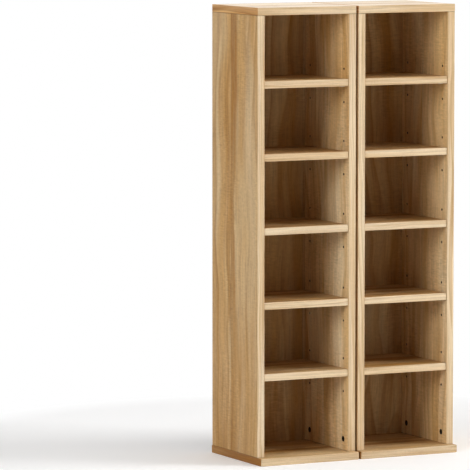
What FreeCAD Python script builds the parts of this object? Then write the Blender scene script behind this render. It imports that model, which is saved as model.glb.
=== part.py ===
import FreeCAD, Part
import math
import os

# A matching pair of media towers in oak-decor board. Each tower is a knock-down carcass: two sides
# stand on a base plate, drawn down to it by cam fittings, and carry a top on glued dowels. A thin back
# runs in grooves, and five loose shelves lie on flat steel supports plugged into drilled rows.
# Sizes are in millimetres. +X is to the right, +Y to the back and +Z up. The origin is on the floor,
# at the middle of the pair's footprint. Each piece is drawn in its tower's own frame, where X is 0 at
# the tower's middle, Y is 0 at the carcass front and Z is 0 at the floor, and is placed at the end.

# Carcass
TOWER_WIDTH = 231.0
TOWER_DEPTH = 213.0
BOARD = 16.0
BLIND_WALL = 3.5

# Clear heights of the compartments, from the top down, and the shelves between them
TOP_CLEAR_HEIGHT = 137.0
SECOND_CLEAR_HEIGHT = 137.0
THIRD_CLEAR_HEIGHT = 139.0
FOURTH_CLEAR_HEIGHT = 141.0
FIFTH_CLEAR_HEIGHT = 135.0
BOTTOM_CLEAR_HEIGHT = 160.0
SHELF_BOARD = 15.0
SHELF_SETBACK = 2.0
SHELF_END_CLEARANCE = 1.0
SHELF_BACK_CLEARANCE = 1.0

# Base plate
BASE_FRONT_OVERHANG = 18.0
BASE_SIDE_OVERHANG = 1.5
BASE_GAP = 3.0
BASE_BOARD_CORNER_RADIUS = 3.0
BASE_EDGING = 2.0
BASE_EDGE_ROUND = 1.5

# Glued edging on the sides, the top and the shelves
EDGING = 1.0
EDGE_ROUND = 0.9
LARGEST_ROUND_SHARE = 0.9

# Back panel and its groove
BACK_BOARD = 3.0
GROOVE_FROM_BACK = 10.0
GROOVE_DEPTH = 7.0
GROOVE_CLEARANCE = 0.2
BACK_TUCK = 5.0

# Drilled rows and the shelf supports in them
ROW_INSET = 24.0
HOLE_PITCH = 35.0
SPARE_HOLES_EACH_WAY = 1
PIN_DIAMETER = 5.0
PIN_LENGTH = 8.0
PIN_CLEARANCE = 0.1
PIN_HOLE_SPARE = 1.5
TONGUE_LENGTH = 10.0
TONGUE_WIDTH = 7.0
TONGUE_THICKNESS = 1.8
TONGUE_DROP = 0.5

# Cam fittings
CAM_DISTANCE = 24.0
CAM_DIAMETER = 12.0
CAM_CLEARANCE = 0.1
RECESS_LENGTH = 8.0
RECESS_WIDTH = 2.0
RECESS_DEPTH = 2.5
BOLT_THREAD_DIAMETER = 6.0
BOLT_SHAFT_DIAMETER = 6.6
BOLT_NECK_DIAMETER = 4.0
BOLT_HEAD_DIAMETER = 6.4
BOLT_HEAD_HEIGHT = 3.0
BOLT_CLEARANCE = 0.4
THREAD_CLEARANCE = 0.05

# Dowels
DOWEL_DIAMETER = 8.0
DOWEL_LENGTH = 30.0
DOWEL_CHAMFER = 0.8
DOWEL_CLEARANCE = 0.1
DOWEL_SPARE = 0.5

# Places that follow from the sizes above
HEIGHTS_OVER_SHELVES = (
    TOP_CLEAR_HEIGHT,
    SECOND_CLEAR_HEIGHT,
    THIRD_CLEAR_HEIGHT,
    FOURTH_CLEAR_HEIGHT,
    FIFTH_CLEAR_HEIGHT,
)
SHELVED_HEIGHT = sum(clear + SHELF_BOARD for clear in HEIGHTS_OVER_SHELVES)
TOP_UNDERSIDE = BOARD + BOTTOM_CLEAR_HEIGHT + SHELVED_HEIGHT
TOWER_HEIGHT = TOP_UNDERSIDE + BOARD
HALF_WIDTH = TOWER_WIDTH / 2
INNER_HALF = HALF_WIDTH - BOARD
BOARD_MIDDLE = HALF_WIDTH - BOARD / 2
BACK_REAR = TOWER_DEPTH - GROOVE_FROM_BACK
BACK_FRONT = BACK_REAR - BACK_BOARD
SHELF_BACK = BACK_FRONT - SHELF_BACK_CLEARANCE
SHELF_REACH = INNER_HALF - SHELF_END_CLEARANCE
FRONT_ROW = ROW_INSET
REAR_ROW = SHELF_BACK + SHELF_SETBACK - ROW_INSET
MIDDLE_ROW = (FRONT_ROW + REAR_ROW) / 2
BLIND_DEPTH = BOARD - BLIND_WALL
PIN_HOLE_DEPTH = PIN_LENGTH + PIN_HOLE_SPARE

CENTRE = FreeCAD.Vector(0, 0, 0)
ACROSS = FreeCAD.Vector(1, 0, 0)
LEFTWARD = FreeCAD.Vector(-1, 0, 0)
FORWARD = FreeCAD.Vector(0, -1, 0)
UP = FreeCAD.Vector(0, 0, 1)
FULL_TURN = 360.0
EIGHTH_TURN = math.pi / 4


def block(x_range, y_range, z_range):
    """A box between the given limits."""
    low = FreeCAD.Vector(x_range[0], y_range[0], z_range[0])
    return Part.makeBox(x_range[1] - x_range[0], y_range[1] - y_range[0], z_range[1] - z_range[0], low)


def rod(diameter, length, start, direction):
    """A cylinder from a start point along a direction."""
    return Part.makeCylinder(diameter / 2, length, start, direction)


def turned(profile, foot, away):
    """A turned piece from (radius, height) corners, its heights counted up (+1) or down (-1) from foot."""
    corners = [FreeCAD.Vector(radius, 0, height * away) for radius, height in profile]
    outline = Part.makePolygon(corners + corners[:1])
    return Part.Face(outline).revolve(CENTRE, UP, FULL_TURN).translated(foot)


def mirrored(shape):
    """The same piece on the other side of the tower."""
    return shape.mirror(CENTRE, ACROSS)


def both_sides(shapes):
    """The left side's shapes, with their mirror images."""
    return shapes + [mirrored(shape) for shape in shapes]


def face_looking(shape, direction):
    """The face of a shape that looks most nearly along a direction."""
    return max(shape.Faces, key=lambda face: face.normalAt(0, 0).dot(direction))


def edging_strip(x_range, y_range, z_range, outward):
    """A glued strip whose two long outer edges are eased."""
    strip = block(x_range, y_range, z_range)
    long_edges = sorted(face_looking(strip, outward).Edges, key=lambda edge: edge.Length)[-2:]
    return strip.makeFillet(min(EDGE_ROUND, LARGEST_ROUND_SHARE * EDGING), long_edges)


def seat_heights():
    """The undersides of the shelves, from the top down."""
    heights = []
    level = TOP_UNDERSIDE
    for clear in HEIGHTS_OVER_SHELVES:
        level -= clear + SHELF_BOARD
        heights.append(level)
    return heights


def hole_heights(seat):
    """The holes that a shelf can lie at: the one in use, and the spare ones above and below it."""
    in_use = seat + TONGUE_DROP
    steps = range(-SPARE_HOLES_EACH_WAY, SPARE_HOLES_EACH_WAY + 1)
    return [in_use + HOLE_PITCH * step for step in steps]


def cam_housing(centre):
    """A cam round the bolt's head, shown locked, that half a turn sets free.

    The head lies in a round pocket. A slot for its neck runs half round the rim, from the throat above,
    where the head went in, to the locked place below, and the face has a cross recess for a driver.
    """
    face_x = -INNER_HALF
    inner_end = FreeCAD.Vector(face_x - BLIND_DEPTH, centre.y, centre.z)
    pocket_depth = BOLT_HEAD_DIAMETER + 2 * BOLT_CLEARANCE
    pocket_width = math.hypot(pocket_depth, BOLT_HEAD_HEIGHT + 2 * BOLT_CLEARANCE)
    neck_room = BOLT_NECK_DIAMETER / 2 + BOLT_CLEARANCE
    slot_x = (centre.x - neck_room, centre.x + neck_room)
    slot_y = (centre.y - CAM_DIAMETER, centre.y + neck_room)
    slot_z = (centre.z - CAM_DIAMETER, centre.z + CAM_DIAMETER)
    recess_x = (face_x - RECESS_DEPTH, face_x)
    along = (-RECESS_LENGTH / 2, RECESS_LENGTH / 2)
    beside = (-RECESS_WIDTH / 2, RECESS_WIDTH / 2)
    to_centre = FreeCAD.Vector(0, centre.y, centre.z)
    return rod(CAM_DIAMETER, BLIND_DEPTH, inner_end, ACROSS).cut([
        rod(pocket_width, pocket_depth, centre - ACROSS * (pocket_depth / 2), ACROSS),
        block(slot_x, slot_y, slot_z),
        rod(BOLT_HEAD_DIAMETER + BOLT_CLEARANCE, CAM_DIAMETER, centre, UP),
        block(recess_x, along, beside).translated(to_centre),
        block(recess_x, beside, along).translated(to_centre),
    ])


def cam_bolt(foot):
    """A turned bolt with its thread in the base, its neck in the cam's slot and its head in the pocket."""
    thread_end = BOLT_CLEARANCE - BLIND_DEPTH
    head_top = CAM_DISTANCE + BOLT_HEAD_HEIGHT / 2
    head_foot = head_top - BOLT_HEAD_HEIGHT
    neck_foot = CAM_DISTANCE - CAM_DIAMETER / 2 - BOLT_CLEARANCE
    profile = [
        (0, thread_end),
        (BOLT_THREAD_DIAMETER / 2, thread_end),
        (BOLT_THREAD_DIAMETER / 2, 0),
        (BOLT_SHAFT_DIAMETER / 2, 0),
        (BOLT_SHAFT_DIAMETER / 2, neck_foot),
        (BOLT_NECK_DIAMETER / 2, neck_foot),
        (BOLT_NECK_DIAMETER / 2, head_foot),
        (BOLT_HEAD_DIAMETER / 2, head_foot),
        (BOLT_HEAD_DIAMETER / 2, head_top),
        (0, head_top),
    ]
    return turned(profile, foot, 1)


def cam_joint(y):
    """One cam fitting that draws the left side down on to the base, with the cuts that it needs."""
    foot = FreeCAD.Vector(-BOARD_MIDDLE, y, BOARD)
    centre = foot + UP * CAM_DISTANCE
    seat_bottom = FreeCAD.Vector(-INNER_HALF - BLIND_DEPTH, y, centre.z)
    channel = CAM_DISTANCE + BOLT_HEAD_HEIGHT / 2 + BOLT_CLEARANCE
    return {
        "cam": [cam_housing(centre)],
        "bolt": [cam_bolt(foot)],
        "side_cuts": [
            rod(CAM_DIAMETER + 2 * CAM_CLEARANCE, BLIND_DEPTH, seat_bottom, ACROSS),
            rod(BOLT_SHAFT_DIAMETER + 2 * BOLT_CLEARANCE, channel, foot, UP),
        ],
        "panel_cuts": [rod(BOLT_THREAD_DIAMETER + 2 * THREAD_CLEARANCE, BLIND_DEPTH, foot, -UP)],
    }


def dowel_joint(y, level, away):
    """One dowel from a flat panel's face at level into the left side, up (+1) or down (-1) from it."""
    foot = FreeCAD.Vector(-BOARD_MIDDLE, y, level)
    low_end = DOWEL_SPARE - BLIND_DEPTH
    high_end = low_end + DOWEL_LENGTH
    radius = DOWEL_DIAMETER / 2
    profile = [
        (0, low_end),
        (radius - DOWEL_CHAMFER, low_end),
        (radius, low_end + DOWEL_CHAMFER),
        (radius, high_end - DOWEL_CHAMFER),
        (radius - DOWEL_CHAMFER, high_end),
        (0, high_end),
    ]
    hole = DOWEL_DIAMETER + 2 * DOWEL_CLEARANCE
    return {
        "dowel": [turned(profile, foot, away)],
        "side_cuts": [rod(hole, high_end + DOWEL_SPARE, foot, UP * away)],
        "panel_cuts": [rod(hole, BLIND_DEPTH, foot, UP * -away)],
    }


def gathered(joints, kind):
    """All shapes of one kind from a list of joints."""
    return [shape for joint in joints for shape in joint.get(kind, [])]


def back_groove(x_range, z_range):
    """The slot that the back panel runs in."""
    return block(x_range, (BACK_FRONT - GROOVE_CLEARANCE, BACK_REAR + GROOVE_CLEARANCE), z_range)


def cross_groove(z_range):
    """The back's slot across the top or the base, from one side's slot to the other's."""
    reach = INNER_HALF + GROOVE_DEPTH
    return back_groove((-reach, reach), z_range)


def left_side(joints):
    """The left upright, with its back slot, its fittings' holes and two rows of support holes."""
    z_range = (BOARD, TOP_UNDERSIDE)
    board = block((-HALF_WIDTH, -INNER_HALF), (EDGING, TOWER_DEPTH), z_range)
    cuts = gathered(joints, "side_cuts")
    cuts.append(back_groove((-INNER_HALF - GROOVE_DEPTH, -INNER_HALF), z_range))
    for seat in seat_heights():
        for z in hole_heights(seat):
            for y in (FRONT_ROW, REAR_ROW):
                bottom = FreeCAD.Vector(-INNER_HALF - PIN_HOLE_DEPTH, y, z)
                cuts.append(rod(PIN_DIAMETER + 2 * PIN_CLEARANCE, PIN_HOLE_DEPTH, bottom, ACROSS))
    return board.cut(cuts)


def left_side_edging():
    """The strip on the left upright's front edge."""
    return edging_strip((-HALF_WIDTH, -INNER_HALF), (0, EDGING), (BOARD, TOP_UNDERSIDE), FORWARD)


def base_plan(inset):
    """The base plate's outline with round front corners, drawn in by inset except at the back."""
    side = HALF_WIDTH + BASE_SIDE_OVERHANG - inset
    front = inset - BASE_FRONT_OVERHANG
    radius = BASE_BOARD_CORNER_RADIUS + BASE_EDGING - inset
    bulge = radius * (1 - math.cos(EIGHTH_TURN))
    left_corner = [
        FreeCAD.Vector(-side, front + radius, 0),
        FreeCAD.Vector(-side + bulge, front + bulge, 0),
        FreeCAD.Vector(-side + radius, front, 0),
    ]
    right_corner = [FreeCAD.Vector(-point.x, point.y, 0) for point in reversed(left_corner)]
    rear_left = FreeCAD.Vector(-side, TOWER_DEPTH, 0)
    rear_right = FreeCAD.Vector(side, TOWER_DEPTH, 0)
    return Part.Face(Part.Wire([
        Part.makeLine(rear_left, left_corner[0]),
        Part.Arc(*left_corner).toShape(),
        Part.makeLine(left_corner[2], right_corner[0]),
        Part.Arc(*right_corner).toShape(),
        Part.makeLine(right_corner[2], rear_right),
        Part.makeLine(rear_right, rear_left),
    ]))


def base_board():
    """The base plate's board before it is drilled."""
    return base_plan(BASE_EDGING).extrude(UP * BOARD)


def base_panel(joints):
    """The base plate's board, with the back's slot and the holes for bolts and dowels."""
    drilled = both_sides(gathered(joints, "panel_cuts"))
    return base_board().cut(drilled + [cross_groove((BOARD - BACK_TUCK, BOARD))])


def base_edging():
    """One thick strip bent round the base plate's sides and front, with its outer edges eased."""
    plate = base_plan(0).extrude(UP * BOARD)
    edges = face_looking(plate, UP).Edges + face_looking(plate, -UP).Edges
    rims = [edge for edge in edges if edge.CenterOfMass.y < BACK_REAR]
    radius = min(BASE_EDGE_ROUND, LARGEST_ROUND_SHARE * BASE_EDGING)
    return plate.makeFillet(radius, rims).cut(base_board())


def top_panel(joints):
    """The top's board, with the back's slot and the holes for its dowels."""
    reach = HALF_WIDTH - EDGING
    board = block((-reach, reach), (EDGING, TOWER_DEPTH), (TOP_UNDERSIDE, TOWER_HEIGHT))
    drilled = both_sides(gathered(joints, "panel_cuts"))
    return board.cut(drilled + [cross_groove((TOP_UNDERSIDE, TOP_UNDERSIDE + BACK_TUCK))])


def top_edging():
    """The strips on the top's front and on its two ends."""
    z_range = (TOP_UNDERSIDE, TOWER_HEIGHT)
    front = edging_strip((-HALF_WIDTH, HALF_WIDTH), (0, EDGING), z_range, FORWARD)
    end = edging_strip((-HALF_WIDTH, EDGING - HALF_WIDTH), (EDGING, TOWER_DEPTH), z_range, LEFTWARD)
    return [front] + both_sides([end])


def back_panel():
    """The thin back, standing in the base's slot and held by the sides and the top."""
    reach = INNER_HALF + GROOVE_DEPTH - GROOVE_CLEARANCE
    z_range = (BOARD - BACK_TUCK, TOP_UNDERSIDE + BACK_TUCK - GROOVE_CLEARANCE)
    return block((-reach, reach), (BACK_FRONT, BACK_REAR), z_range)


def shelf(seat):
    """A loose shelf's board, lying at its seat height."""
    y_range = (SHELF_SETBACK + EDGING, SHELF_BACK)
    return block((-SHELF_REACH, SHELF_REACH), y_range, (seat, seat + SHELF_BOARD))


def shelf_edging(seat):
    """The strip on a shelf's front edge."""
    y_range = (SHELF_SETBACK, SHELF_SETBACK + EDGING)
    return edging_strip((-SHELF_REACH, SHELF_REACH), y_range, (seat, seat + SHELF_BOARD), FORWARD)


def shelf_support(y, seat):
    """A support in the left side: a round pin whose end is a flat tongue, a little below its axis."""
    face_x = -INNER_HALF
    tip_radius = TONGUE_WIDTH / 2
    tip_x = face_x + TONGUE_LENGTH - tip_radius
    underside = seat - TONGUE_THICKNESS
    pin_end = FreeCAD.Vector(face_x - PIN_LENGTH, y, seat + TONGUE_DROP)
    pin = rod(PIN_DIAMETER, PIN_LENGTH, pin_end, ACROSS)
    tongue = block((face_x, tip_x), (y - tip_radius, y + tip_radius), (underside, seat))
    tip = rod(TONGUE_WIDTH, TONGUE_THICKNESS, FreeCAD.Vector(tip_x, y, underside), UP)
    return pin.fuse([tongue, tip]).removeSplitter()


def tower_pieces():
    """Every piece of one tower, by name, as lists of solids in the tower's own frame."""
    cam_joints = {"front": cam_joint(FRONT_ROW), "rear": cam_joint(REAR_ROW)}
    base_joints = [*cam_joints.values(), dowel_joint(MIDDLE_ROW, BOARD, 1)]
    top_joints = [dowel_joint(y, TOP_UNDERSIDE, -1) for y in (FRONT_ROW, MIDDLE_ROW, REAR_ROW)]
    joints = base_joints + top_joints
    side = left_side(joints)
    side_edging = left_side_edging()
    seats = seat_heights()
    supports = [shelf_support(y, seat) for seat in seats for y in (FRONT_ROW, REAR_ROW)]
    pieces = {
        "base_panel": [base_panel(base_joints)],
        "base_edging": [base_edging()],
        "left_side": [side],
        "left_side_edging": [side_edging],
        "right_side": [mirrored(side)],
        "right_side_edging": [mirrored(side_edging)],
        "top_panel": [top_panel(top_joints)],
        "top_edging": top_edging(),
        "back_panel": [back_panel()],
        "cam_bolts": both_sides(gathered(joints, "bolt")),
        "dowels": both_sides(gathered(joints, "dowel")),
        "shelf_supports": both_sides(supports),
    }
    for row, joint in cam_joints.items():
        pieces[f"left_{row}_cam"] = joint["cam"]
        pieces[f"right_{row}_cam"] = [mirrored(cam) for cam in joint["cam"]]
    for number, seat in enumerate(seats, start=1):
        pieces[f"shelf_{number}"] = [shelf(seat)]
        pieces[f"shelf_{number}_edging"] = [shelf_edging(seat)]
    return pieces


def save(name, solids, place):
    """Writes one piece, moved to its place in the pair."""
    placed = [solid.translated(place) for solid in solids]
    shape = placed[0] if len(placed) == 1 else Part.makeCompound(placed)
    shape.exportStep(os.path.join("parts", f"{name}.step"))


def main():
    os.makedirs("parts", exist_ok=True)
    pieces = tower_pieces()
    tower_x = HALF_WIDTH + BASE_SIDE_OVERHANG + BASE_GAP / 2
    tower_y = (BASE_FRONT_OVERHANG - TOWER_DEPTH) / 2
    for tower, hand in (("left_tower", -1), ("right_tower", 1)):
        place = FreeCAD.Vector(hand * tower_x, tower_y, 0)
        for name, solids in pieces.items():
            save(f"{tower}_{name}", solids, place)


main()
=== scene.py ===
import math

import bpy
from mathutils import Color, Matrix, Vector


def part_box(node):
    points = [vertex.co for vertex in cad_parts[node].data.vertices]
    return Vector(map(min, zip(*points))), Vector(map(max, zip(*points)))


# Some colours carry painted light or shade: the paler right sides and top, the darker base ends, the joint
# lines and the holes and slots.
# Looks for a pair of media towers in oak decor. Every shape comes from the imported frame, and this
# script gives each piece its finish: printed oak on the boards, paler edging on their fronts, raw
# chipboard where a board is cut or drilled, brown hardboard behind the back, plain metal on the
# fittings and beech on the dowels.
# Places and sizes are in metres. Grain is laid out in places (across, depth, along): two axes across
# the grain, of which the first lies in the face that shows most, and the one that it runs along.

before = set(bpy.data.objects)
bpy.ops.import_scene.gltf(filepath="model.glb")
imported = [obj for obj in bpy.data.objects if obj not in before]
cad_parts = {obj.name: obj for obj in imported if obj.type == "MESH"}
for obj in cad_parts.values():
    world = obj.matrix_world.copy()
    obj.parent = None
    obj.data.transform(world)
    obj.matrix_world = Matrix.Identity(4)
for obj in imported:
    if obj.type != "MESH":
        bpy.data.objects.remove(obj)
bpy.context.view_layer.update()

# Pieces that repeat
TOWERS = ("left_tower", "right_tower")
SHELVES = ("shelf_1", "shelf_2", "shelf_3", "shelf_4", "shelf_5")
BOARDS = ("left_side", "right_side", "top_panel", "base_panel", "back_panel", *SHELVES)
CAMS = ("left_front_cam", "left_rear_cam", "right_front_cam", "right_rear_cam")
X, Y, Z = range(3)

# Oak colours, as sRGB shares: (light, middle, dark)
BOARD_OAK = ((0.795, 0.672, 0.495), (0.752, 0.598, 0.395), (0.600, 0.410, 0.175))
# The right sides get a paler copy of the board oak: painted light on their inner faces in the bays, which
# also makes their outer faces paler
RIGHT_SIDE_LIT_OAK = ((0.895, 0.800, 0.640), (0.862, 0.727, 0.530), (0.720, 0.540, 0.290))
# The top gets a paler, greyer copy of the board oak: painted sheen, added to the real sheen that TOP_SATIN
# gives
TOP_SHEEN_OAK = ((0.885, 0.810, 0.700), (0.845, 0.745, 0.610), (0.710, 0.560, 0.370))
EDGING_OAK = ((0.912, 0.820, 0.680), (0.866, 0.752, 0.596), (0.725, 0.565, 0.365))
TOP_END_OAK = ((0.855, 0.690, 0.480), (0.780, 0.590, 0.375), (0.510, 0.310, 0.130))
BASE_OAK = ((0.880, 0.785, 0.640), (0.815, 0.695, 0.535), (0.645, 0.475, 0.300))
# The base's end strips are darker: partly their own strip of print, partly painted shade near the floor
BASE_END_SHADED_OAK = ((0.665, 0.495, 0.290), (0.600, 0.415, 0.215), (0.465, 0.285, 0.120))

# Other colours, as sRGB shares: (light, dark), or one colour
SAWN_COLOURS = ((0.800, 0.660, 0.470), (0.470, 0.330, 0.200))
# Chipboard in holes and slots is darker: partly the drill's burnish, partly painted shade of their depth
BORED_SHADED_COLOURS = ((0.230, 0.160, 0.100), (0.105, 0.070, 0.045))
HARDBOARD_COLOURS = ((0.560, 0.410, 0.270), (0.400, 0.270, 0.170))
BEECH_COLOURS = ((0.870, 0.730, 0.550), (0.760, 0.590, 0.410))
ZINC_COLOURS = ((0.270, 0.240, 0.210), (0.150, 0.130, 0.110))
STEEL_COLOURS = ((0.820, 0.830, 0.840), (0.660, 0.670, 0.680))
FLOOR_COLOUR = (0.990, 0.989, 0.988)
WHITE = (1.0, 1.0, 1.0)

# Gloss of the decor: (specular level, roughness)
SATIN = (0.15, 0.58)
TOP_SATIN = (0.30, 0.52)

# How the print lies on the edging, and how far it moves on from one board to the next
EDGING_FINENESS = (3.0, 3.0, 1.0)
EDGING_SHIFT = (4.1, 1.7, 3.2)
SHIFT_PER_BOARD = (0.403, 0.59, 1.10)

# Dark line where a board's end meets the next board: partly a glue line, partly painted shade of the gap
# in the joint
JOINT_GLUE_AND_SHADE_LINE = 0.0016
JOINT_GLUE_AND_SHADE_DARKNESS = 0.55

# The settings below go by their last word. A SCALE counts a noise's features per metre along each axis,
# and a NOISE is its (detail, roughness) where they aren't the usual ones. A STEP is the stretch of it that
# is eased, with the range that it is eased on to where that isn't 0 to 1. A TONE, CHANGE or ROUGHNESS is
# how far it makes a value swing, with the middle that it swings about where that isn't 0. A DARKNESS is
# what a feature takes off the brightness, and a DULLNESS what it adds to the roughness. A BUMP is
# (strength, height), and a SPREAD or an ORIGIN picks a place in a noise.
SMOOTH_DETAIL = 1.0

# Planks side by side in the print, each with a dark heart along one side
PLANK_WIDTH = 0.130
PLANK_SEAM = 0.0275
PLANK_TONE = (0.04, 1.0)
PLANK_FIGURE_SPREAD = 5.0
SEAM_WIDTH = 0.0012
SEAM_DARKNESS = 0.22
HEART_WIDTH = 0.034
HEART_WIDTH_CHANGE = 0.045
HEART_WIDTH_SCALE = (1, 1, 2.4)
HEART_WOBBLE = 0.006
HEART_WOBBLE_SCALE = (1, 1, 13)
HEART_SPREAD = 9.0
HEART_ORIGIN = 23.3
HEART_STRENGTH_SCALE = (2, 2, 1.1)
HEART_STRENGTH_STEP = (0.36, 0.58, 0.10, 1.0)
HEART_EDGE_STEP = (0.55, 1.0, 1.0, 0.0)
HEART_STREAK_CHANGE = (0.6, 0.78)

# Sway and ripple of the grain, and its growth rings
SWAY = 0.022
SWAY_SCALE = (5, 5, 4.5)
RIPPLE = 0.0022
RIPPLE_SCALE = (20, 20, 12)
RING_COUNT = 14.0
RING_SCALE = (7.5, 7.5, 0.5)
RING_WANDER = 0.16
RING_WANDER_SCALE = (70, 70, 5)
RING_RISE = 2.5
RING_END_STEP = (0.90, 1.0, 1.0, 0.0)
RING_STRENGTH_SCALE = (9, 9, 1.5)
RING_STRENGTH_STEP = (0.35, 0.65, 0.20, 0.80)

# Bands, streaks and fibres along the grain, with vessels and pores
BAND_SCALE = (15, 15, 2.2)
BAND_STEP = (0.40, 0.60)
DARK_STREAK_SCALE = (26, 26, 2.0)
DARK_STREAK_NOISE = (3.0, 0.55)
DARK_STREAK_STEP = (0.53, 0.68, 0.0, 0.55)
STREAK_SCALE = (170, 170, 9)
STREAK_NOISE = (3.0, 0.6)
STREAK_TONE = 0.25
STREAK_ROUGHNESS = 0.06
FIBRE_SCALE = (1100, 1100, 28)
FIBRE_TONE = 0.13
VESSEL_SCALE = (620, 620, 20)
VESSEL_STEP = (0.56, 0.70)
VESSEL_DARKNESS = 0.17
PORE_SCALE = (1500, 1500, 120)
PORE_STEP = (0.62, 0.74)
PORE_DARKNESS = 0.13
PORE_DULLNESS = 0.12
TINT_SCALE = (24, 24, 3)
TINT_CHANGE = (0.14, 1.0)
GRAIN_BUMP = (0.25, 0.0001)

# Mottling and saw ticks, of which edging shows only a share
MOTTLE_SCALE = (110, 110, 190)
MOTTLE_TONE = 0.13
TICK_SCALE = (60, 60, 320)
TICK_TONE = 0.27
TICK_PATCH_SCALE = (13, 13, 5)
TICK_PATCH_STEP = (0.44, 0.66, 0.20, 1.0)
EDGING_SPECKLE = 0.25

# Chipboard
COARSE_CHIP_SCALE = (330, 330, 330)
FINE_CHIP_SCALE = (900, 900, 900)
FINE_LAYER_STEP = (0.45, 0.75)
CHIP_SHARE = 0.6
CHIP_GAP_STEP = (0.55, 0.85)
CHIP_GAP_DARKNESS = 0.5
CHIP_DUST_SCALE = (1600, 1600, 1600)
CHIP_DUST_NOISE = (3.0, 0.5)
CHIP_DUST_TONE = (0.25, 0.25)
CHIP_ROUGHNESS = (0.08, 0.85)
CHIP_BUMP = (0.6, 0.0004)

# Hardboard, with its screen's waves in radians per metre
SCREEN_WAVES = 3600.0
SCREEN_TONE = 0.06
SCREEN_RELIEF = 0.5
MATTED_SCALE = (420, 420, 420)
MATTED_NOISE = (4.0, 0.65)
MATTED_TONE = (0.5, 0.35)
HARDBOARD_CLOUD_SCALE = (18, 18, 18)
HARDBOARD_CLOUD_TONE = (0.3, 0.15)
HARDBOARD_ROUGHNESS = (0.12, 0.80)
HARDBOARD_BUMP = (0.5, 0.0002)

# Beech
BEECH_STREAK_SCALE = (700, 700, 40)
FLECK_SCALE = (1300, 1300, 260)
FLECK_STEP = (0.60, 0.70)
FLECK_DARKNESS = 0.18
BEECH_ROUGHNESS = (0.08, 0.60)
BEECH_BUMP = (0.3, 0.0001)

# Metal
ZINC_SCALE = (240, 240, 240)
ZINC_ROUGHNESS = (0.10, 0.42)
STEEL_SCALE = (500, 500, 90)
STEEL_ROUGHNESS = (0.10, 0.30)
METAL_NOISE = (3.0, 0.6)
METAL_PIT_SCALE = (2600, 2600, 2600)
METAL_BUMP = (0.12, 0.00008)

# Material slots of a board and of a rim, and how near to a board's limits a face on them lies
DECOR, SAWN, BORED_SHADED, REAR = range(4)
RIM_FRONT, RIM_SIDE = range(2)
FACE_TOLERANCE = 0.00005

# Camera: degrees, and millimetres of lens
CAMERA_PLACE = (-4.2323, -7.9858, 1.3250)
CAMERA_TILT = 84.569
CAMERA_TURN = -26.573
CAMERA_LENS = 327.34
CAMERA_FAR = 60.0

# Lamps: (place, size, watts), all aimed at one point, with the ambient light as a share of white
LAMPS = {
    "key": ((5.4, -3.2, 3.0), 3.0, 300.0),
    "fill": ((-6.2, -2.6, 2.6), 2.6, 215.0),
    "top": ((0.0, -0.6, 6.0), 3.0, 115.0),
    "back": ((2.7, 5.5, 3.0), 3.0, 50.0),
}
LAMP_AIM = (0.0, 0.0, 0.48)
AMBIENT = 0.18

# Floor, which glows a little where it is seen, and fades to white round the object
FLOOR_REACH = 12.0
FLOOR_CORNERS = ((-1, -1), (1, -1), (1, 1), (-1, 1))
FLOOR_GLOW = 0.10
FADE_START = 0.82
FADE_END = 0.98


def linear(colour):
    """An sRGB colour as linear RGBA."""
    return (*Color(colour).from_srgb_to_scene_linear(), 1.0)


def socket(sockets, identifier):
    """The socket with this identifier, where several share a name."""
    return next(each for each in sockets if each.identifier == identifier)


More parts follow.
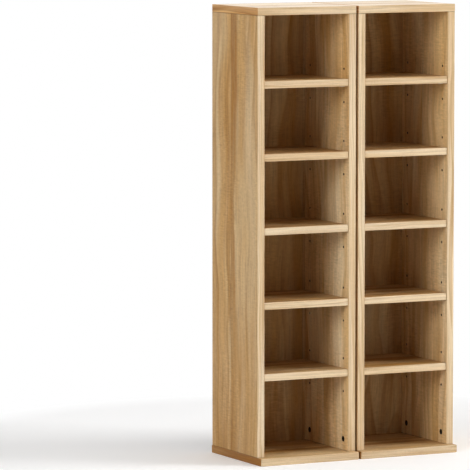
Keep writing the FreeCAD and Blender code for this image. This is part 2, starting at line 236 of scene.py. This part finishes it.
class Graph:
    """A node tree, with short ways to add nodes and to link them."""

    def __init__(self, tree):
        self.tree = tree

    def add(self, kind, inputs=None, **settings):
        """A node with its settings, and with its inputs linked or set."""
        node = self.tree.nodes.new(kind)
        for name, value in settings.items():
            setattr(node, name, value)
        for name, value in (inputs or {}).items():
            self.feed(node.inputs[name], value)
        return node

    def feed(self, target, value):
        """Links an input to another node's output, or sets it."""
        if isinstance(value, bpy.types.NodeSocket):
            self.tree.links.new(value, target)
        else:
            target.default_value = value

    def math(self, operation, *values):
        """A number worked out from numbers."""
        return self.add("ShaderNodeMath", dict(enumerate(values)), operation=operation).outputs[0]

    def vector(self, operation, *values):
        """A place worked out from places."""
        return self.add("ShaderNodeVectorMath", dict(enumerate(values)), operation=operation).outputs[0]

    def apart(self, place):
        """The three parts of a place."""
        return self.add("ShaderNodeSeparateXYZ", {0: place}).outputs

    def together(self, *values):
        """A place from its three parts."""
        return self.add("ShaderNodeCombineXYZ", dict(enumerate(values))).outputs[0]

    def noise(self, place, per_metre, detail=2.0, roughness=0.5):
        """Smooth noise from 0 to 1, with so many features per metre along each axis."""
        scaled = self.vector("MULTIPLY", place, per_metre)
        inputs = {"Vector": scaled, "Scale": 1.0, "Detail": detail, "Roughness": roughness}
        return self.add("ShaderNodeTexNoise", inputs).outputs["Fac"]

    def cells(self, place, per_metre):
        """Voronoi cells, so many per metre along each axis: (distance to the middle, own value)."""
        scaled = self.vector("MULTIPLY", place, per_metre)
        node = self.add("ShaderNodeTexVoronoi", {"Vector": scaled, "Scale": 1.0})
        return node.outputs["Distance"], self.apart(node.outputs["Color"])[X]

    def eased(self, value, low, high, to_low=0.0, to_high=1.0):
        """A value's stretch from low to high, eased on to the one from to_low to to_high."""
        inputs = {
            "Value": value,
            "From Min": low,
            "From Max": high,
            "To Min": to_low,
            "To Max": to_high,
        }
        return self.add("ShaderNodeMapRange", inputs, interpolation_type="SMOOTHSTEP").outputs[0]

    def swing(self, value, amount, middle=0.0):
        """A noise from 0 to 1, as a number that swings by amount about middle."""
        return self.math("MULTIPLY_ADD", value, 2 * amount, middle - amount)

    def mix(self, share, first, second):
        """A mix of two colours."""
        node = self.add("ShaderNodeMix", data_type="RGBA")
        self.feed(socket(node.inputs, "Factor_Float"), share)
        self.feed(socket(node.inputs, "A_Color"), first)
        self.feed(socket(node.inputs, "B_Color"), second)
        return socket(node.outputs, "Result_Color")

    def shaded(self, share, colours):
        """A mix of a light and a dark sRGB colour, from dark at 0 to light at 1."""
        light, dark = map(linear, colours)
        return self.mix(share, dark, light)

    def toned(self, colour, value, saturation=1.0):
        """A colour with its brightness and its saturation multiplied."""
        inputs = {"Color": colour, "Value": value, "Saturation": saturation}
        return self.add("ShaderNodeHueSaturation", inputs).outputs[0]

    def bump(self, height, strength, distance):
        """A normal from heights."""
        inputs = {"Height": height, "Strength": strength, "Distance": distance}
        return self.add("ShaderNodeBump", inputs).outputs[0]

    def glow(self, strength):
        """White light of its own."""
        inputs = {"Color": linear(WHITE), "Strength": strength}
        return self.add("ShaderNodeEmission", inputs).outputs[0]

    def surface(self, colour, roughness, normal, plain=None):
        """The material's shader and output, with any plain values set on the shader."""
        inputs = {"Base Color": colour, "Roughness": roughness, "Normal": normal, **(plain or {})}
        shader = self.add("ShaderNodeBsdfPrincipled", inputs)
        self.add("ShaderNodeOutputMaterial", {"Surface": shader.outputs[0]})


def empty_graph(owner):
    """The emptied node tree of a material or a world."""
    owner.use_nodes = True
    owner.node_tree.nodes.clear()
    return Graph(owner.node_tree)


def new_material(name):
    """A material with an empty node tree: (material, graph)."""
    material = bpy.data.materials.new(name)
    return material, empty_graph(material)


def own_place(graph):
    """The place on the piece, in the frame that all pieces share at rest."""
    return graph.add("ShaderNodeTexCoord").outputs["Object"]


def grain_place(graph, axes, fineness, shift):
    """The place on the piece as (across, depth, along), made finer or moved along the print."""
    parts = graph.apart(own_place(graph))
    ordered = graph.together(*(parts[axis] for axis in axes))
    return graph.vector("MULTIPLY_ADD", ordered, fineness, shift)


def planks(graph, place, share):
    """Planks side by side in the print: (a chance from 0 to 1 for each, its seam, its dark heart)."""
    across, _, along = graph.apart(place)
    count = graph.math("DIVIDE", graph.math("SUBTRACT", across, PLANK_SEAM), PLANK_WIDTH)
    number = graph.math("MULTIPLY", graph.math("FLOOR", count), share)
    chance = graph.add("ShaderNodeTexWhiteNoise", {"W": number}, noise_dimensions="1D").outputs["Value"]
    to_whole_count = graph.math("PINGPONG", count, 0.5)
    from_seam = graph.math("MULTIPLY", to_whole_count, PLANK_WIDTH)
    seam = graph.eased(from_seam, 0.0, SEAM_WIDTH, 1.0, 0.0)

    spread = graph.math("MULTIPLY", chance, HEART_SPREAD)
    along_plank = graph.together(spread, HEART_ORIGIN, along)
    width = graph.swing(graph.noise(along_plank, HEART_WIDTH_SCALE), HEART_WIDTH_CHANGE, HEART_WIDTH)
    wobble = graph.swing(graph.noise(along_plank, HEART_WOBBLE_SCALE), HEART_WOBBLE)
    strength = graph.noise(along_plank, HEART_STRENGTH_SCALE, detail=SMOOTH_DETAIL)
    far_share = graph.math("SUBTRACT", 1.0, graph.math("FRACT", count))
    from_far_seam = graph.math("MULTIPLY_ADD", far_share, PLANK_WIDTH, wobble)
    heart = graph.eased(graph.math("DIVIDE", from_far_seam, width), *HEART_EDGE_STEP)
    heart = graph.math("MULTIPLY", heart, graph.eased(strength, *HEART_STRENGTH_STEP))
    return chance, graph.math("MULTIPLY", seam, share), graph.math("MULTIPLY", heart, share)


def swayed_place(graph, place, chance):
    """The place in a plank's own figure, whose grain sways and ripples."""
    depth = graph.math("MULTIPLY", chance, PLANK_FIGURE_SPREAD)
    own = graph.vector("ADD", place, graph.together(0.0, depth, chance))
    sway = graph.swing(graph.noise(own, SWAY_SCALE, detail=SMOOTH_DETAIL), SWAY)
    ripple = graph.swing(graph.noise(own, RIPPLE_SCALE, detail=SMOOTH_DETAIL), RIPPLE)
    return graph.vector("ADD", own, graph.together(graph.math("ADD", sway, ripple), 0.0, 0.0))


def rings(graph, swayed):
    """Dark growth rings, from 0 to 1: long loops and arches that darken slowly and end quickly."""
    contours = graph.noise(swayed, RING_SCALE, detail=SMOOTH_DETAIL)
    wander = graph.swing(graph.noise(swayed, RING_WANDER_SCALE), RING_WANDER)
    age = graph.math("FRACT", graph.math("MULTIPLY_ADD", contours, RING_COUNT, wander))
    rise = graph.math("POWER", age, RING_RISE)
    darkness = graph.math("MULTIPLY", rise, graph.eased(age, *RING_END_STEP))
    strength = graph.eased(graph.noise(swayed, RING_STRENGTH_SCALE), *RING_STRENGTH_STEP)
    return graph.math("MULTIPLY", darkness, strength)


def speckle(graph, place):
    """Mottling, and fine saw ticks across the grain that are stronger in a few patches."""
    mottle = graph.swing(graph.noise(place, MOTTLE_SCALE), MOTTLE_TONE)
    ticks = graph.swing(graph.noise(place, TICK_SCALE, detail=SMOOTH_DETAIL), TICK_TONE)
    patches = graph.eased(graph.noise(place, TICK_PATCH_SCALE), *TICK_PATCH_STEP)
    return graph.math("MULTIPLY_ADD", ticks, patches, mottle)


def oak_colour(graph, given, swayed, streaks, heart):
    """Pale bands, with dark streaks, hearts and growth rings over them."""
    bands = graph.eased(graph.noise(swayed, BAND_SCALE), *BAND_STEP)
    dark_streaks = graph.noise(swayed, DARK_STREAK_SCALE, *DARK_STREAK_NOISE)
    dark_shares = (
        graph.eased(dark_streaks, *DARK_STREAK_STEP),
        graph.math("MULTIPLY", heart, graph.swing(streaks, *HEART_STREAK_CHANGE)),
        rings(graph, swayed),
    )
    colour = graph.mix(bands, given["Middle"], given["Light"])
    for share in dark_shares:
        colour = graph.mix(share, colour, given["Dark"])
    return colour


def oak_group():
    """The printed oak decor, shared by boards and edging."""
    tree = bpy.data.node_groups.new("oak_decor", "ShaderNodeTree")
    tree.interface.new_socket("Place", in_out="INPUT", socket_type="NodeSocketVector")
    for name in ("Planks", "Roughness"):
        tree.interface.new_socket(name, in_out="INPUT", socket_type="NodeSocketFloat")
    for name in ("Light", "Middle", "Dark"):
        tree.interface.new_socket(name, in_out="INPUT", socket_type="NodeSocketColor")
    tree.interface.new_socket("Color", in_out="OUTPUT", socket_type="NodeSocketColor")
    tree.interface.new_socket("Roughness", in_out="OUTPUT", socket_type="NodeSocketFloat")
    tree.interface.new_socket("Normal", in_out="OUTPUT", socket_type="NodeSocketVector")
    graph = Graph(tree)
    given = graph.add("NodeGroupInput").outputs
    place = given["Place"]

    chance, seam, heart = planks(graph, place, given["Planks"])
    swayed = swayed_place(graph, place, chance)
    streaks = graph.noise(swayed, STREAK_SCALE, *STREAK_NOISE)
    fibres = graph.noise(swayed, FIBRE_SCALE)
    vessels = graph.eased(graph.noise(swayed, VESSEL_SCALE, detail=SMOOTH_DETAIL), *VESSEL_STEP)
    pores = graph.eased(graph.noise(swayed, PORE_SCALE, detail=SMOOTH_DETAIL), *PORE_STEP)
    tint = graph.noise(swayed, TINT_SCALE)

    speckle_share = graph.math("MULTIPLY_ADD", given["Planks"], 1.0 - EDGING_SPECKLE, EDGING_SPECKLE)
    value = graph.swing(chance, *PLANK_TONE)
    value = graph.math("ADD", value, graph.swing(streaks, STREAK_TONE))
    value = graph.math("ADD", value, graph.swing(fibres, FIBRE_TONE))
    value = graph.math("MULTIPLY_ADD", speckle(graph, place), speckle_share, value)
    value = graph.math("MULTIPLY_ADD", vessels, -VESSEL_DARKNESS, value)
    value = graph.math("MULTIPLY_ADD", pores, -PORE_DARKNESS, value)
    value = graph.math("MULTIPLY_ADD", seam, -SEAM_DARKNESS, value)
    colour = oak_colour(graph, given, swayed, streaks, heart)
    roughness = graph.math("ADD", given["Roughness"], graph.swing(streaks, STREAK_ROUGHNESS))
    height = graph.math("SUBTRACT", fibres, pores)
    graph.add("NodeGroupOutput", {
        "Color": graph.toned(colour, value, graph.swing(tint, *TINT_CHANGE)),
        "Roughness": graph.math("MULTIPLY_ADD", pores, PORE_DULLNESS, roughness),
        "Normal": graph.bump(height, *GRAIN_BUMP),
    })
    return tree


OAK = oak_group()


def joint_glue_and_painted_shade(graph, axis, limits):
    """Brightness along a piece, lower at its two ends, where its joints with the next pieces show: a glue
    line with painted shade of the joint's gap.
    """
    low, high = limits
    level = graph.apart(own_place(graph))[axis]
    from_low = graph.math("SUBTRACT", level, low)
    from_high = graph.math("SUBTRACT", high, level)
    from_end = graph.math("MINIMUM", from_low, from_high)
    return graph.eased(from_end, 0.0, JOINT_GLUE_AND_SHADE_LINE, 1.0 - JOINT_GLUE_AND_SHADE_DARKNESS, 1.0)


def oak_material(name, axes, palette, plank_share=1.0, fineness=(1, 1, 1), shift=(0, 0, 0),
                 limits=None, gloss=SATIN):
    """Oak decor with its grain along the last of the axes, and dark joint lines at any limits given: glue
    lines with painted shade.
    """
    material, graph = new_material(name)
    light, middle, dark = map(linear, palette)
    specular, roughness = gloss
    inputs = {
        "Place": grain_place(graph, axes, fineness, shift),
        "Planks": plank_share,
        "Roughness": roughness,
        "Light": light,
        "Middle": middle,
        "Dark": dark,
    }
    decor = graph.add("ShaderNodeGroup", inputs, node_tree=OAK).outputs
    colour = decor["Color"]
    # Joint lines at the piece's ends: a glue line with painted shade of the joint's gap
    if limits:
        colour = graph.toned(colour, joint_glue_and_painted_shade(graph, axes[-1], limits))
    graph.surface(colour, decor["Roughness"], decor["Normal"], {"Specular IOR Level": specular})
    return material


def board_material(tower, board, axes, palette=BOARD_OAK, limits=None, gloss=SATIN):
    """Oak for one board, from its own stretch of the print."""
    number = BOARDS.index(board) + len(BOARDS) * TOWERS.index(tower)
    shift = [part * number for part in SHIFT_PER_BOARD]
    return oak_material(f"{tower}_{board}_oak", axes, palette, shift=shift, limits=limits, gloss=gloss)


def edging_material(name, axes, palette, limits=None):
    """Oak for edging, with a finer print and no planks."""
    return oak_material(name, axes, palette, plank_share=0.0, fineness=EDGING_FINENESS,
                        shift=EDGING_SHIFT, limits=limits)


def chipboard_material(name, thin_axis, colours):
    """Raw chipboard: coarse chips in the middle of the board, and finer ones near its faces."""
    material, graph = new_material(name)
    place = own_place(graph)
    share = graph.apart(graph.add("ShaderNodeTexCoord").outputs["Generated"])[thin_axis]
    from_middle = graph.math("ABSOLUTE", graph.swing(share, 1.0))
    fine_share = graph.eased(from_middle, *FINE_LAYER_STEP)
    coarse_edge, coarse = graph.cells(place, COARSE_CHIP_SCALE)
    _, fine = graph.cells(place, FINE_CHIP_SCALE)
    chips = graph.math("MULTIPLY_ADD", fine_share, graph.math("SUBTRACT", fine, coarse), coarse)
    dust = graph.noise(place, CHIP_DUST_SCALE, *CHIP_DUST_NOISE)
    tone = graph.math("MULTIPLY_ADD", chips, CHIP_SHARE, graph.swing(dust, *CHIP_DUST_TONE))
    coarse_share = graph.math("SUBTRACT", 1.0, fine_share)
    dents = graph.math("MULTIPLY", graph.eased(coarse_edge, *CHIP_GAP_STEP), coarse_share)
    shade = graph.math("MULTIPLY_ADD", dents, -CHIP_GAP_DARKNESS, 1.0)
    colour = graph.toned(graph.shaded(tone, colours), shade)
    normal = graph.bump(graph.math("SUBTRACT", tone, dents), *CHIP_BUMP)
    graph.surface(colour, graph.swing(dust, *CHIP_ROUGHNESS), normal)
    return material


def chipboard_pair(name, thin_axis):
    """Raw chipboard where it is sawn, and darker in holes and slots, from the drill's burnish with painted
    shade of their depth.
    """
    sawn = chipboard_material(f"chipboard_{name}_sawn", thin_axis, SAWN_COLOURS)
    bored_shaded = chipboard_material(f"chipboard_{name}_bored", thin_axis, BORED_SHADED_COLOURS)
    return sawn, bored_shaded


def hardboard_material(name):
    """Raw hardboard, with matted fibres and the print of the wire screen that it was pressed on."""
    material, graph = new_material(name)
    place = own_place(graph)
    parts = graph.apart(place)
    wires = [graph.math("SINE", graph.math("MULTIPLY", parts[axis], SCREEN_WAVES)) for axis in (X, Z)]
    screen = graph.math("MULTIPLY", *wires)
    matted = graph.noise(place, MATTED_SCALE, *MATTED_NOISE)
    clouds = graph.swing(graph.noise(place, HARDBOARD_CLOUD_SCALE), *HARDBOARD_CLOUD_TONE)
    tone = graph.math("ADD", graph.swing(matted, *MATTED_TONE), clouds)
    shade = graph.math("MULTIPLY_ADD", screen, SCREEN_TONE, 1.0)
    colour = graph.toned(graph.shaded(tone, HARDBOARD_COLOURS), shade)
    normal = graph.bump(graph.math("MULTIPLY_ADD", screen, SCREEN_RELIEF, matted), *HARDBOARD_BUMP)
    graph.surface(colour, graph.swing(matted, *HARDBOARD_ROUGHNESS), normal)
    return material


def beech_material(name):
    """Turned beech with short dark flecks along the grain."""
    material, graph = new_material(name)
    place = own_place(graph)
    streaks = graph.noise(place, BEECH_STREAK_SCALE)
    flecks = graph.eased(graph.noise(place, FLECK_SCALE, detail=SMOOTH_DETAIL), *FLECK_STEP)
    shade = graph.math("MULTIPLY_ADD", flecks, -FLECK_DARKNESS, 1.0)
    colour = graph.toned(graph.shaded(streaks, BEECH_COLOURS), shade)
    graph.surface(colour, graph.swing(streaks, *BEECH_ROUGHNESS), graph.bump(streaks, *BEECH_BUMP))
    return material


def metal_material(name, colours, per_metre, roughness):
    """Plain metal, cloudy on a small scale and lightly pitted."""
    material, graph = new_material(name)
    place = own_place(graph)
    clouds = graph.noise(place, per_metre, *METAL_NOISE)
    colour = graph.shaded(clouds, colours)
    normal = graph.bump(graph.noise(place, METAL_PIT_SCALE), *METAL_BUMP)
    graph.surface(colour, graph.swing(clouds, *roughness), normal, {"Metallic": 1.0})
    return material


# Finishes that both towers share
# Ends of the sides, where the joint lines with their painted shade go
SIDE_LIMITS = [corner.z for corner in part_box("left_tower_left_side")]
EDGING_UP = edging_material("edging_up", (X, Y, Z), EDGING_OAK, SIDE_LIMITS)
EDGING_ALONG_FRONT = edging_material("edging_along_front", (Z, Y, X), EDGING_OAK)
EDGING_ALONG_SIDE = edging_material("edging_along_side", (Z, X, Y), TOP_END_OAK)
BASE_ALONG_FRONT = edging_material("base_along_front", (Z, Y, X), BASE_OAK)
# Base ends: darker print with painted shade
BASE_ALONG_SIDE_SHADED = edging_material("base_along_side", (Z, X, Y), BASE_END_SHADED_OAK)
CHIP_UPRIGHT = chipboard_pair("upright", X)
CHIP_LEVEL = chipboard_pair("level", Z)
HARDBOARD = hardboard_material("hardboard")
ZINC = metal_material("zinc", ZINC_COLOURS, ZINC_SCALE, ZINC_ROUGHNESS)
STEEL = metal_material("steel", STEEL_COLOURS, STEEL_SCALE, STEEL_ROUGHNESS)
BEECH = beech_material("beech")


def put_on(node, *materials):
    """Gives a CAD node its materials, with every face on the first."""
    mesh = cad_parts[node].data
    mesh.materials.clear()
    for material in materials:
        mesh.materials.append(material)
    for face in mesh.polygons:
        face.material_index = 0
    return mesh


def dress_board(node, thin_axis, decor, raw, rear=None):
    """Decor on a board's broad faces, sawn board at its ends, and darker drilled board with painted shade
    in its holes and slots.
    """
    mesh = put_on(node, decor, *raw, rear or decor)
    low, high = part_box(node)
    for face in mesh.polygons:
        centre = face.center
        to_ends = [min(centre[axis] - low[axis], high[axis] - centre[axis]) for axis in (X, Y, Z)]
        if high[thin_axis] - centre[thin_axis] < FACE_TOLERANCE:
            face.material_index = REAR
        elif to_ends[thin_axis] < FACE_TOLERANCE:
            face.material_index = DECOR
        elif min(to_ends) < FACE_TOLERANCE:
            face.material_index = SAWN
        else:
            # Holes and slots: darker chipboard with painted shade of their depth
            face.material_index = BORED_SHADED


def dress_rim(node, front_material, side_material):
    """Edging round a panel: grain along the front, and along both sides."""
    mesh = put_on(node, front_material, side_material)
    low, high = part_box(node)
    for face in mesh.polygons:
        from_side = min(face.center.x - low.x, high.x - face.center.x)
        from_front = face.center.y - low.y
        face.material_index = RIM_SIDE if from_side < from_front else RIM_FRONT


def dress_tower(tower):
    """Puts every finish on one tower."""
    # The right sides take the paler copy with painted light
    for side, palette in (("left_side", BOARD_OAK), ("right_side", RIGHT_SIDE_LIT_OAK)):
        decor = board_material(tower, side, (Y, X, Z), palette, SIDE_LIMITS)
        dress_board(f"{tower}_{side}", X, decor, CHIP_UPRIGHT)
        put_on(f"{tower}_{side}_edging", EDGING_UP)
    top = board_material(tower, "top_panel", (Y, Z, X), TOP_SHEEN_OAK, gloss=TOP_SATIN)
    dress_board(f"{tower}_top_panel", Z, top, CHIP_LEVEL)
    dress_rim(f"{tower}_top_edging", EDGING_ALONG_FRONT, EDGING_ALONG_SIDE)
    base = board_material(tower, "base_panel", (Y, Z, X))
    dress_board(f"{tower}_base_panel", Z, base, CHIP_LEVEL)
    dress_rim(f"{tower}_base_edging", BASE_ALONG_FRONT, BASE_ALONG_SIDE_SHADED)
    back = board_material(tower, "back_panel", (X, Y, Z))
    dress_board(f"{tower}_back_panel", Y, back, (HARDBOARD, HARDBOARD), HARDBOARD)
    for shelf in SHELVES:
        dress_board(f"{tower}_{shelf}", Z, board_material(tower, shelf, (Y, Z, X)), CHIP_LEVEL)
        put_on(f"{tower}_{shelf}_edging", EDGING_ALONG_FRONT)
    for cam in CAMS:
        put_on(f"{tower}_{cam}", ZINC)
    put_on(f"{tower}_cam_bolts", STEEL)
    put_on(f"{tower}_shelf_supports", STEEL)
    put_on(f"{tower}_dowels", BEECH)


def seen_rays(graph):
    """1 for the rays that show the background: straight to the camera, mirrored or let through."""
    rays = graph.add("ShaderNodeLightPath").outputs
    mirrored = graph.math("MAXIMUM", rays["Is Glossy Ray"], rays["Is Transmission Ray"])
    return graph.math("MAXIMUM", rays["Is Camera Ray"], mirrored)


def floor_material(name):
    """A plain pale floor that keeps the object's shadow, and fades to white away from it."""
    material, graph = new_material(name)
    seen = seen_rays(graph)
    reach = graph.add("ShaderNodeVectorMath", {0: own_place(graph)}, operation="LENGTH").outputs["Value"]
    fade = graph.math("MULTIPLY", seen, graph.eased(reach, FADE_START, FADE_END))
    plain = graph.add("ShaderNodeBsdfDiffuse", {"Color": linear(FLOOR_COLOUR)}).outputs[0]
    glow = graph.glow(graph.math("MULTIPLY", seen, FLOOR_GLOW))
    near = graph.add("ShaderNodeAddShader", {0: plain, 1: glow}).outputs[0]
    blend = graph.add("ShaderNodeMixShader", {0: fade, 1: near, 2: graph.glow(1.0)}).outputs[0]
    graph.add("ShaderNodeOutputMaterial", {"Surface": blend})
    return material


def add_object(name, data):
    """A new object in the scene."""
    added = bpy.data.objects.new(name, data)
    bpy.context.scene.collection.objects.link(added)
    return added


def add_floor():
    """A flat square floor round the object."""
    mesh = bpy.data.meshes.new("floor")
    corners = [(x * FLOOR_REACH, y * FLOOR_REACH, 0.0) for x, y in FLOOR_CORNERS]
    mesh.from_pydata(corners, [], [(0, 1, 2, 3)])
    mesh.materials.append(floor_material("floor"))
    floor = add_object("floor", mesh)


def add_world():
    """White where it is seen or mirrored, and a soft ambient light elsewhere."""
    world = bpy.data.worlds.new("studio")
    graph = empty_graph(world)
    strength = graph.math("MULTIPLY_ADD", seen_rays(graph), 1.0 - AMBIENT, AMBIENT)
    sky = graph.add("ShaderNodeBackground", {"Color": linear(WHITE), "Strength": strength})
    graph.add("ShaderNodeOutputWorld", {"Surface": sky.outputs[0]})
    bpy.context.scene.world = world


def add_lamp(name, place, size, watts):
    """A square soft lamp that looks at the object."""
    data = bpy.data.lights.new(name, "AREA")
    data.size = size
    data.energy = watts
    lamp = add_object(name, data)
    lamp.location = place
    lamp.rotation_euler = (Vector(LAMP_AIM) - Vector(place)).to_track_quat("-Z", "Y").to_euler()


def add_camera():
    """The camera at the reference view."""
    data = bpy.data.cameras.new("camera")
    data.lens = CAMERA_LENS
    data.clip_end = CAMERA_FAR
    camera = add_object("camera", data)
    camera.location = CAMERA_PLACE
    camera.rotation_euler = (math.radians(CAMERA_TILT), 0.0, math.radians(CAMERA_TURN))
    bpy.context.scene.camera = camera


for tower_name in TOWERS:
    dress_tower(tower_name)
add_floor()
add_world()
for lamp_name, lamp_settings in LAMPS.items():
    add_lamp(lamp_name, *lamp_settings)
add_camera()
bpy.context.scene.view_settings.view_transform = "Standard"
